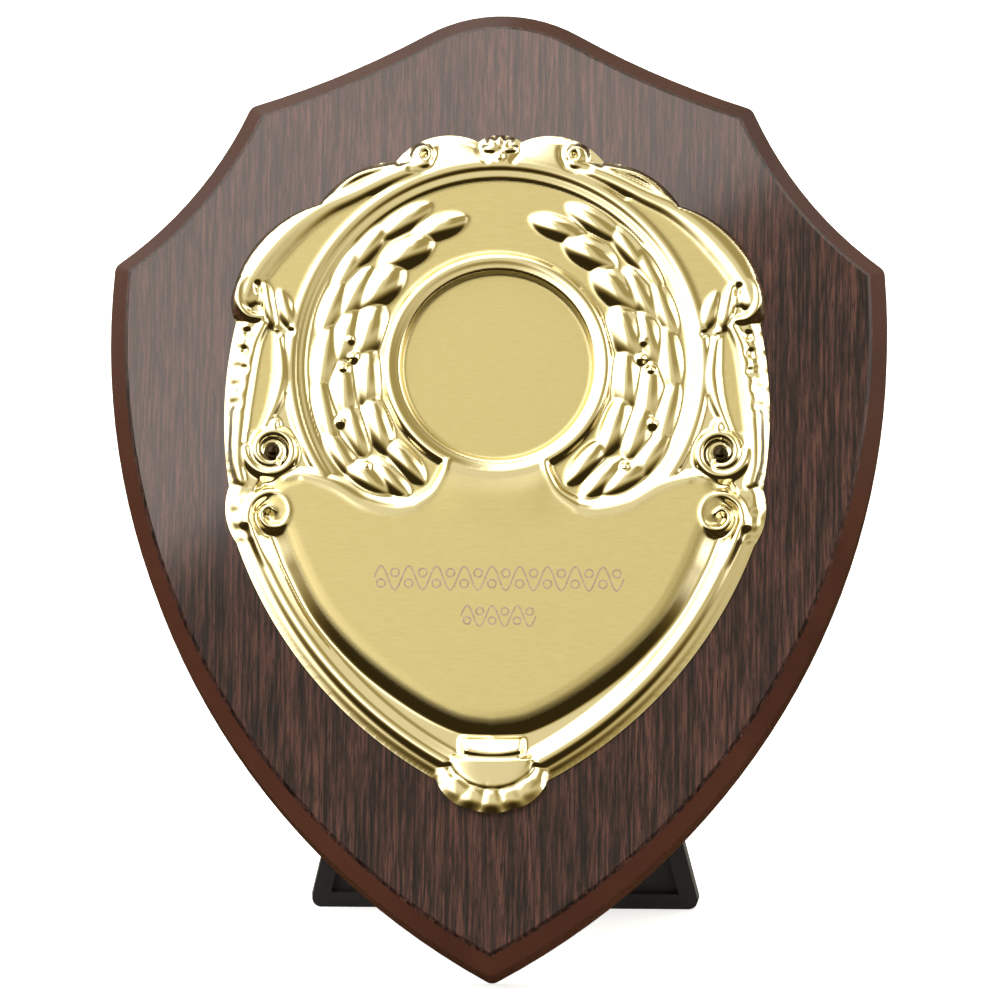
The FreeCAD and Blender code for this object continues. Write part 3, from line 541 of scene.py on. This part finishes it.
def make_side_scroll(r):
    """The upper scroll, with two narrow leaves beside it."""
    r.leaf(27.4, 7.4, 6.6, 2.8, 70, 1.9, 1.1)
    r.ridge(curve([(30.4, 11.3), (32.0, 11.6), (33.3, 10.3), (33.4, 8.0), (32.3, 6.4),
                   (30.6, 6.0)]), (.5, .8, .95, .85, .6), (1.8, 2.0, 2.1, 2.0, 1.8), 1.1)
    r.leaf(29.6, 8.0, 7.6, 2.3, 78, 2.1, 1.1)
    r.groove([(31.1, 10.4), (30.9, 9.6)], .45, .45)
    for x, y in ((28.3, 4.0), (26.6, 4.2)):
        r.bump(x, y, .5, 0, .5)


def make_leaf_frame(r):
    """Rope edge, outer rib and inner rib with the satin crescent between them."""
    where, gap, _, _ = r.near(curve([(29.6, 3.2), (30.2, -1.5), (31.3, -7.5)]), 1.6)
    crescent = gap < 1.3
    r.height[where] = np.where(crescent, 1.05, r.height[where])
    r.satin[where] = np.where(crescent, 1.0, r.satin[where])
    r.ridge(curve([(30.2, 5.2), (31.4, 2.4), (32.3, -2.0), (33.0, -7.5), (33.2, -12.5),
                   (32.6, -15.6)]), (.8, 1.1, 1.25, 1.25, 1.1, .8),
            (1.7, 1.8, 1.85, 1.8, 1.75, 1.5), 1.0)
    scallops(r, -6.6, 5.3, 2.4, .15)
    for y in (4.1, 1.7, -.8):
        r.bump(32.5 - .05 * y, y, .65, 0, .32)
    r.ridge(curve([(28.4, 4.4), (27.9, 1.5), (27.7, -1.5), (28.3, -4.6), (29.6, -7.8),
                   (31.3, -11.0)]), (.6, 1.1, 1.35, 1.0, .65, .4),
            (1.5, 1.75, 1.85, 1.75, 1.6, 1.4), 1.0)


def make_pin_scroll(r):
    """The scroll that each pin goes through, with the small scroll under it."""
    x, y = PIN_SPOT
    r.ridge(spiral(PIN_SPOT, 3.5, 1.8, 5, -1.3), (.8, .95, .95, .85, .75),
            (1.8, 2.05, 2.1, 2.1, 2.0), 1.0, .9)
    r.leaf(x - .3, y + 3.1, 2.8, 1.8, 95, 2.0, 1.0)
    hole = r.window(np.array([PIN_SPOT]), 1.4)
    away = np.hypot(r.x[hole] - x, r.y[hole] - y)
    r.height[hole] = np.where(away < 1.08, np.interp(away, (0, .9, 1.08), (.85, .85, 1.8)),
                              r.height[hole])
    r.groove(curve([(25.4, -15.3), (28.6, -16.2), (31.6, -15.9), (34.0, -15.9)]), .5, .09)
    r.ridge(curve([(27.6, -29.3), (29.5, -25.8), (31.0, -22.4), (31.9, -19.6)]),
            (.8, 1.1, 1.0, .8), (1.0, 1.42, 1.7, 1.8), .3)
    r.ridge(curve([(31.9, -20.8), (31.3, -18.3), (29.4, -17.0), (27.3, -17.4), (26.4, -19.3),
                   (27.2, -21.2), (29.1, -21.4), (30.1, -20.0), (29.2, -18.8), (28.2, -19.4)]),
            (.8, .8, .75, .7, .65, .5), (1.75, 1.85, 1.9, 1.95, 2.0, 2.0), 1.0, .9)
    scallops(r, -23.0, -16.6, 2.3, .07)


def make_crest_ornament(r):
    """The small shell in the middle of the crest and a curl on either side."""
    for turn in (90, 50, 10):
        angle = math.radians(turn)
        r.leaf(1.2 * math.cos(angle), 28.3 + 1.1 * math.sin(angle), 2.4, 1.1, turn, 1.75, 1.2)
    r.leaf(0, 27.5, 1.7, 1.6, 90, 1.9, 1.2)
    r.groove(curve([(1.7, 27.0), (2.5, 28.1), (2.6, 29.3)]), .5, .2)
    r.ridge(spiral((9.8, 27.7), 1.25, .5, -20, 1.2), .5, (1.65, 1.85), 1.2)
    r.groove(curve([(7.9, 28.6), (8.1, 27.2), (9.3, 26.0), (11.6, 25.9)]), .5, .2)
    r.bump(9.8, 27.8, .42, 0, .5)


def make_shell(r):
    """The scallop shell at the foot, with the collar that holds it."""
    x, y = r.x, r.y
    up = y - SHELL_Y
    away = np.hypot(x, up)
    angle = np.degrees(np.arctan2(x, -up))
    oval = np.hypot(x / 5.4, up / 4.1)
    body = 1.40 + .32 * np.sqrt(np.clip(1 - oval ** 2, 0, 1))
    rim = r.lip + np.interp(r.edge, (0, .3, 1.2, 2.4), (0, .10, .36, .46)) \
        + .11 * np.abs(np.cos(np.radians(angle * 7))) * ease(0, .9, r.edge)
    shell = np.where(oval < 1, body, rim) - .20 * np.exp(-((oval - 1) / .08) ** 2)
    shell -= .05 * np.exp(-((np.abs(angle) - 13) / 2.0) ** 2) * ease(.5, .9, oval)
    reach = 5.2 + 2.6 * ease(SHELL_Y, -54.0, y)
    share = ease(-50.9, -51.7, y) * (1 - ease(7.2, 7.8, away)) \
        * (1 - ease(reach - .6, reach + .4, np.abs(x)))
    r.height += (shell - r.height) * share
    collar = (np.abs(x) < 4.4) & (y < -48.6) & (y > SHELL_Y)
    band = np.interp(-y + .04 * x * x, (48.8, 50.9, 51.3), (.80, 1.80, 1.40))
    band = .3 + (band - .3) * (1 - ease(3.4, 4.4, np.abs(x)))
    r.height = np.where(collar, np.maximum(r.height, band), r.height)
    r.satin = np.where((share > 0) | collar, 0.0, r.satin)


def blurred(field, spread):
    """A Gaussian blur along both axes, in grid cells, with the edge repeated."""
    reach = int(math.ceil(3 * spread))
    weights = np.exp(-0.5 * (np.arange(-reach, reach + 1) / spread) ** 2)
    weights /= weights.sum()
    for axis in (0, 1):
        pads = [(reach, reach) if a == axis else (0, 0) for a in (0, 1)]
        padded = np.pad(field, pads, mode="edge")
        size = field.shape[axis]
        field = sum(w * np.take(padded, np.arange(k, k + size), axis) for k, w in
                    enumerate(weights))
    return field


def make_relief():
    """The whole field: heights, satin mask and distance in from the outline."""
    r = Relief()
    outline = half_outline()
    _, gap, _, side = r.near(outline, EVERYWHERE)
    edge = -gap * side
    r.edge = np.clip(edge, 0, None)
    r.lip = lip_level(r.x, r.y)
    make_base(r)
    make_lobe_moulding(r)
    for x, y, long, wide, axis, top in LEAVES:
        r.leaf(x, y, long, wide, axis, top + .12, FIELD_LEVEL - .1, .1)
    for x, y in BERRIES:
        r.bump(x, y, .8, 2.0, 1.1)
        r.satin[np.hypot(r.x - x, r.y - y) < .8] = 0
    make_side_border(r)
    make_crest_ornament(r)
    make_leaf_frame(r)
    make_side_scroll(r)
    make_pin_scroll(r)
    make_shell(r)
    height, satin, edge = (np.concatenate([half[:, :0:-1], half], axis=1)
                           for half in (r.height, r.satin, edge))
    xs = np.concatenate([-r.xs[:0:-1], r.xs])
    return xs, r.ys, blurred(height, 1.1), blurred(satin, 1.0), edge


def grid_faces(inside):
    """Quads of a grid whose four corners are inside, as rows of vertex numbers."""
    rows, columns = inside.shape
    number = np.arange(rows * columns).reshape(rows, columns)
    whole = inside[:-1, :-1] & inside[1:, :-1] & inside[:-1, 1:] & inside[1:, 1:]
    corners = (number[:-1, :-1], number[:-1, 1:], number[1:, 1:], number[1:, :-1])
    return np.stack([corner[whole] for corner in corners], axis=1)


def make_gilt_front():
    """The stamping as one closed mesh: relief in front, a thin edge, flat behind."""
    xs, ys, height, satin, edge = make_relief()
    slope_y, slope_x = np.gradient(edge, FINE)
    pick = (slice(None, None, MESH_STRIDE), slice(None, None, MESH_STRIDE))
    x, y = np.meshgrid(xs[::MESH_STRIDE], ys[::MESH_STRIDE])
    gap, to_x, to_y = edge[pick], slope_x[pick], slope_y[pick]
    faces = grid_faces(gap > COARSE * 0.45)
    used, compact = np.unique(faces, return_inverse=True)
    faces = compact.reshape(faces.shape)
    border = np.bincount(faces.ravel(), minlength=len(used)) < 4
    px, py, pz, mask, gap, to_x, to_y = (
        a.ravel()[used] for a in (x, y, height[pick], satin[pick], gap, to_x, to_y))
    px = np.where(border, px - gap * to_x, px)
    py = np.where(border, py - gap * to_y, py)
    pz = np.where(border, lip_level(px, py), pz)
    mesh = bpy.data.meshes.new("gilt_front")
    mesh.from_pydata(np.stack([px, py, pz], axis=1).tolist(), [], faces.tolist())
    mesh.attributes.new("satin", "FLOAT", "POINT").data.foreach_set("value", mask)

    shape = bmesh.new()
    shape.from_mesh(mesh)
    rim = [e for e in shape.edges if e.is_boundary]
    made = bmesh.ops.extrude_edge_only(shape, edges=rim)["geom"]
    for vertex in (g for g in made if isinstance(g, bmesh.types.BMVert)):
        vertex.co.z = 0.0
    foot = [g for g in made if isinstance(g, bmesh.types.BMEdge)]
    bmesh.ops.holes_fill(shape, edges=[e for e in foot if e.is_boundary], sides=0)
    for face in shape.faces:
        face.smooth = True
    for edge_line in rim + foot:
        edge_line.smooth = False
    bmesh.ops.recalc_face_normals(shape, faces=shape.faces)
    for vertex in shape.verts:
        vertex.co = on_front(*vertex.co)
    shape.to_mesh(mesh)
    shape.free()
    piece = bpy.data.objects.new("gilt_front", mesh)
    bpy.context.scene.collection.objects.link(piece)
    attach(piece, "board")
    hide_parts("metal_front")
    return piece


# ------------------------------------------------------------------ engraved ornament
ENGRAVED_HALF = 0.11                    # half the width of an engraved line
ENGRAVED_FOOT, ENGRAVED_TOP = -0.02, 0.012  # its two levels over the plateau


def ring_points(x, y, across, up, lean, count=20):
    """A closed oval, leant by an angle in degrees."""
    turn = math.radians(lean)
    angles = np.linspace(0, 2 * math.pi, count)
    u, v = across * np.cos(angles), up * np.sin(angles)
    return np.stack([x + u * math.cos(turn) - v * math.sin(turn),
                     y + u * math.sin(turn) + v * math.cos(turn)], axis=1)


def vine(left, right, y, reach, waves):
    """A wavy stem with an oval leaf in each bend."""
    count = waves * 2
    x = np.linspace(left, right, count * 12 + 1)
    lines = [np.stack([x, y + reach * np.sin((x - left) / (right - left) * count * math.pi)], 1)]
    pitch = (right - left) / count
    for bend in range(count):
        side = -1 if bend % 2 == 0 else 1
        centre = left + (bend + 0.5) * pitch
        lines.append(ring_points(centre, y + side * reach * 0.45, 0.30 * pitch, 0.34 * reach,
                                 side * 28))
    return lines


def add_engraving():
    """Two vines, a long one over a short one, where wording would be engraved."""
    lines = vine(-15.4, 16.6, -28.1, 1.55, 9)
    lines += vine(-4.2, 5.4, -33.0, 1.35, 3)
    shape = bmesh.new()
    for line in lines:
        along = np.gradient(line, axis=0)
        along /= np.hypot(*along.T)[:, None]
        normal = np.stack([-along[:, 1], along[:, 0]], axis=1) * ENGRAVED_HALF
        rings = []
        for place, off in zip(line, normal):
            corners = [(*(place + side * off), PLATEAU_LEVEL + level)
                       for side, level in ((1, ENGRAVED_FOOT), (1, ENGRAVED_TOP),
                                           (-1, ENGRAVED_TOP), (-1, ENGRAVED_FOOT))]
            rings.append([shape.verts.new(on_front(*c)) for c in corners])
        for a, b in zip(rings[:-1], rings[1:]):
            for k in range(4):
                shape.faces.new((a[k], b[k], b[(k + 1) % 4], a[(k + 1) % 4]))
        shape.faces.new(rings[0])
        shape.faces.new(rings[-1][::-1])
    bmesh.ops.recalc_face_normals(shape, faces=shape.faces)
    mesh = bpy.data.meshes.new("engraved_ornament")
    shape.to_mesh(mesh)
    shape.free()
    piece = bpy.data.objects.new("engraved_ornament", mesh)
    bpy.context.scene.collection.objects.link(piece)
    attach(piece, "board")
    return piece


# ------------------------------------------------------------------ material helpers
class Nodes:
    """A principled material with short calls for adding and linking nodes."""

    def __init__(self, name):
        self.material = bpy.data.materials.new(name)
        self.material.use_nodes = True
        self.tree = self.material.node_tree
        self.shader = self.tree.nodes["Principled BSDF"]

    def add(self, kind, **values):
        node = self.tree.nodes.new(kind)
        for key, value in values.items():
            setattr(node, key, value)
        return node

    def link(self, source, target):
        self.tree.links.new(source, target)

    def set(self, **values):
        for key, value in values.items():
            self.shader.inputs[key.replace("_", " ")].default_value = value

    def coords(self, lean=0.0):
        """Object coordinates, turned about the X axis."""
        source = self.add("ShaderNodeTexCoord")
        mapping = self.add("ShaderNodeMapping")
        mapping.inputs["Rotation"].default_value = (lean, 0, 0)
        self.link(source.outputs["Object"], mapping.inputs["Vector"])
        return mapping.outputs["Vector"]

    def scaled(self, vector, scale):
        """A vector scaled along each axis."""
        mapping = self.add("ShaderNodeMapping")
        mapping.inputs["Scale"].default_value = scale
        self.link(vector, mapping.inputs["Vector"])
        return mapping.outputs["Vector"]

    def noise(self, vector, scale, detail=4.0, roughness=0.6, distortion=0.0):
        node = self.add("ShaderNodeTexNoise")
        node.inputs["Scale"].default_value = scale
        node.inputs["Detail"].default_value = detail
        node.inputs["Roughness"].default_value = roughness
        node.inputs["Distortion"].default_value = distortion
        self.link(vector, node.inputs["Vector"])
        return node.outputs["Fac"]

    def ramp(self, factor, stops):
        node = self.add("ShaderNodeValToRGB")
        elements = node.color_ramp.elements
        while len(elements) < len(stops):
            elements.new(0.5)
        for element, (place, colour) in zip(elements, stops):
            element.position = place
            element.color = (*colour, 1)
        self.link(factor, node.inputs[0])
        return node.outputs[0]

    def mix(self, factor, a, b, blend="MIX"):
        """Mixes two colours by a factor; each of the three is a socket or a constant."""
        node = self.add("ShaderNodeMix", data_type="RGBA", blend_type=blend)
        for value, socket in ((factor, node.inputs[0]), (a, node.inputs[6]), (b, node.inputs[7])):
            if isinstance(value, bpy.types.NodeSocket):
                self.link(value, socket)
            else:
                socket.default_value = value
        return node.outputs[2]

    def maths(self, operation, a, b):
        return link_maths(self.tree, operation, a, b)

    def spread(self, factor, low, high):
        """Maps 0..1 to low..high."""
        node = self.add("ShaderNodeMapRange")
        node.inputs["To Min"].default_value = low
        node.inputs["To Max"].default_value = high
        self.link(factor, node.inputs["Value"])
        return node.outputs[0]

    def bump(self, height, strength, distance):
        node = self.add("ShaderNodeBump")
        node.inputs["Strength"].default_value = strength
        node.inputs["Distance"].default_value = distance
        self.link(height, node.inputs["Height"])
        self.link(node.outputs[0], self.shader.inputs["Normal"])


LEAN = math.asin(FRONT_NORMAL.z)        # turns object coordinates so that z runs up the board


def make_walnut():
    """Dark walnut: fine streaks and pores up the board under a clear lacquer."""
    n = Nodes("walnut_face")
    along = n.coords(LEAN)
    streaks = n.noise(n.scaled(along, (1.0, 1.0, 0.06)), 3600.0, 4.0, 0.6, 0.1)
    lines = n.noise(n.scaled(along, (1.0, 1.0, 0.025)), 1900.0, 3.0, 0.55, 0.1)
    bands = n.noise(n.scaled(along, (1.0, 1.0, 0.05)), 130.0, 3.0, 0.5, 0.3)
    pores = n.noise(n.scaled(along, (1.0, 1.0, 0.10)), 4200.0, 2.0, 0.5)
    colour = n.ramp(bands, [(0.30, (0.021, 0.0085, 0.0065)), (0.50, (0.028, 0.0115, 0.0088)),
                            (0.72, (0.036, 0.015, 0.0115))])
    streak = n.ramp(streaks, [(0.36, (0.12, 0.11, 0.11)), (0.50, (0.95, 0.92, 0.92)),
                              (0.64, (2.0, 1.9, 1.85))])
    colour = n.mix(0.85, colour, streak, "MULTIPLY")
    dark = n.ramp(lines, [(0.40, (0.18, 0.16, 0.16)), (0.52, (1.15, 1.15, 1.15))])
    colour = n.mix(0.8, colour, dark, "MULTIPLY")
    pits = n.ramp(pores, [(0.36, (0.12, 0.12, 0.13)), (0.44, (1, 1, 1))])
    colour = n.mix(0.7, colour, pits, "MULTIPLY")
    n.link(colour, n.shader.inputs["Base Color"])
    n.link(n.spread(streaks, 0.62, 0.46), n.shader.inputs["Roughness"])
    n.set(Specular_IOR_Level=0.1, Coat_Weight=0.35, Coat_Roughness=0.08)
    n.bump(n.maths("ADD", streaks, pores), 0.2, 0.00004)
    return n.material


def make_edge_paint():
    """Brown lacquer on the bevel and edge: glossy, slightly uneven."""
    n = Nodes("edge_lacquer")
    where = n.coords()
    cloud = n.noise(where, 60.0, 3.0)
    fine = n.noise(where, 900.0, 2.0)
    colour = n.ramp(cloud, [(0.3, (0.036, 0.012, 0.007)), (0.7, (0.052, 0.018, 0.010))])
    n.link(colour, n.shader.inputs["Base Color"])
    n.link(n.spread(fine, 0.22, 0.34), n.shader.inputs["Roughness"])
    n.set(Specular_IOR_Level=0.06, Coat_Weight=0.04, Coat_Roughness=0.1)
    n.bump(fine, 0.12, 0.00005)
    return n.material


def make_gilt():
    """Bright gilt; the satin attribute turns polished relief into a fine brushed satin."""
    n = Nodes("gilt")
    mask = n.add("ShaderNodeAttribute", attribute_name="satin").outputs["Fac"]
    where = n.coords(LEAN)
    brush = n.noise(n.scaled(where, (0.12, 1.0, 1.0)), 5200.0, 3.0, 0.7)
    cloud = n.noise(where, 90.0, 3.0)
    grainy = n.noise(where, 3000.0, 2.0)
    tint = n.ramp(cloud, [(0.3, (0.93, 0.84, 0.55)), (0.7, (0.96, 0.87, 0.59))])
    satin = n.ramp(brush, [(0.25, (0.585, 0.495, 0.235)), (0.75, (0.65, 0.56, 0.285))])
    n.link(n.mix(mask, tint, satin), n.shader.inputs["Base Color"])
    rough = n.maths("ADD", n.spread(mask, 0.09, 0.44), n.spread(grainy, -0.02, 0.02))
    n.link(rough, n.shader.inputs["Roughness"])
    n.set(Metallic=1.0)
    n.bump(n.maths("MULTIPLY", n.maths("ADD", brush, grainy), mask), 0.25, 0.00003)
    return n.material


def make_engraved():
    """The dull brown of an engraved line."""
    n = Nodes("engraved_line")
    grain = n.noise(n.coords(), 2500.0, 2.0)
    n.link(n.ramp(grain, [(0.3, (0.22, 0.15, 0.115)), (0.7, (0.36, 0.26, 0.20))]),
           n.shader.inputs["Base Color"])
    n.link(n.spread(grain, 0.45, 0.65), n.shader.inputs["Roughness"])
    return n.material


def make_plastic():
    """Black moulded plastic with a fine spark-eroded texture."""
    n = Nodes("strut_black")
    where = n.coords()
    grain = n.noise(where, 2600.0, 2.0)
    cloud = n.noise(where, 70.0, 3.0)
    colour = n.ramp(cloud, [(0.3, (0.012, 0.011, 0.011)), (0.7, (0.018, 0.017, 0.017))])
    n.link(colour, n.shader.inputs["Base Color"])
    n.link(n.spread(grain, 0.40, 0.58), n.shader.inputs["Roughness"])
    n.bump(grain, 0.35, 0.00008)
    return n.material


def make_paper():
    """Dark brown paper laminate with short fibres."""
    n = Nodes("back_paper")
    where = n.coords(LEAN)
    fibre = n.noise(n.scaled(where, (1.0, 1.0, 0.25)), 1400.0, 5.0, 0.7)
    cloud = n.noise(where, 45.0, 3.0)
    base = n.ramp(cloud, [(0.3, (0.030, 0.020, 0.016)), (0.7, (0.042, 0.028, 0.022))])
    n.link(n.mix(0.5, base, n.ramp(fibre, [(0.3, (0.5, 0.5, 0.5)), (0.7, (1.5, 1.5, 1.5))]),
                 "MULTIPLY"), n.shader.inputs["Base Color"])
    n.link(n.spread(fibre, 0.75, 0.55), n.shader.inputs["Roughness"])
    n.bump(fibre, 0.3, 0.00008)
    return n.material


def make_metal(name, tint, rough, fineness):
    """Plain metal with fine uneven marks."""
    n = Nodes(name)
    lines = n.noise(n.coords(), fineness, 4.0, 0.7)
    low = tuple(c * 0.85 for c in tint)
    n.link(n.ramp(lines, [(0.3, low), (0.7, tint)]), n.shader.inputs["Base Color"])
    n.link(n.spread(lines, rough - 0.06, rough + 0.08), n.shader.inputs["Roughness"])
    n.set(Metallic=1.0)
    n.bump(lines, 0.15, 0.00003)
    return n.material


WALNUT, EDGE, GILT = make_walnut(), make_edge_paint(), make_gilt()
PLASTIC, PAPER = make_plastic(), make_paper()
ZINC = make_metal("zinc_plate", (0.50, 0.50, 0.52), 0.34, 400.0)
WIRE = make_metal("drawn_wire", (0.58, 0.58, 0.60), 0.28, 900.0)
# Front pin heads: metal whose tint is painted near-black. This is a painted dark reflection and
# painted shade where the heads sit down in their holes.
PIN_HEAD_PAINTED_SHADE = make_metal("pin_head_painted_shade", (0.045, 0.032, 0.018), 0.16, 600.0)

CAD_LOOKS = {"front_veneer": WALNUT, "board_core": EDGE, "back_laminate": PAPER,
             "strut_plate": PLASTIC, "strut_leg": PLASTIC, "strut_screws": ZINC,
             "hinge_pin": WIRE, "front_pins": PIN_HEAD_PAINTED_SHADE}
for node, look in CAD_LOOKS.items():
    for place in bpy.data.objects[node].material_slots:
        place.material = look
make_gilt_front().data.materials.append(GILT)
add_engraving().data.materials.append(make_engraved())
